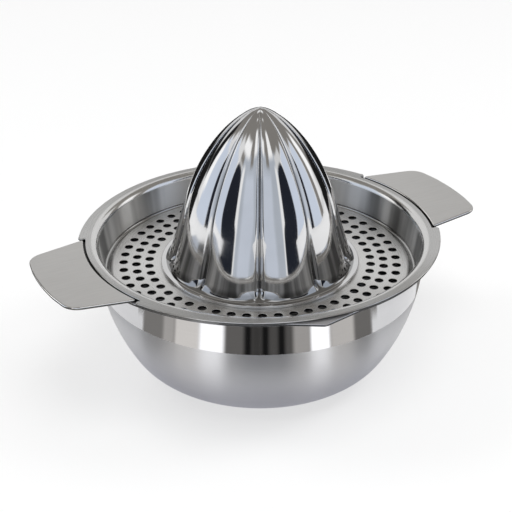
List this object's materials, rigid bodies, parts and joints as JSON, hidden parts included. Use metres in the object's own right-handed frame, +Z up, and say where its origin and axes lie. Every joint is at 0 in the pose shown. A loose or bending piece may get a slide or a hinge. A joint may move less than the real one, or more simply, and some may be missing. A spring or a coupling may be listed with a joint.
{
  "type": "citrus squeezer",
  "caption": "Stainless steel citrus squeezer: fluted reamer on a perforated strainer that sits in a round bowl with two plate handles and a pouring lip",
  "frame": {"origin": "centre of the bowl's flat base, on the table", "axes": "+Z up along the reamer; +X out along the right handle; +Y to the back, away from the spout"},
  "size_m": [0.153, 0.1182, 0.0903],
  "materials": {
    "bowl_steel": "satin stainless steel, polished band under the rim",
    "satin_steel": "satin stainless steel with bright edges",
    "mirror_steel": "mirror polished stainless steel"
  },
  "bodies": {
    "bowl": {"bowl": "bowl_steel", "left_handle": "satin_steel", "right_handle": "satin_steel"},
    "insert": {"strainer": "satin_steel", "reamer": "mirror_steel"}
  },
  "joints": [
    {"name": "insert_lift", "type": "slide", "parent": "bowl", "child": "insert", "axis": [0, 0, 1], "range_m": [0, 0.06]}
  ]
}
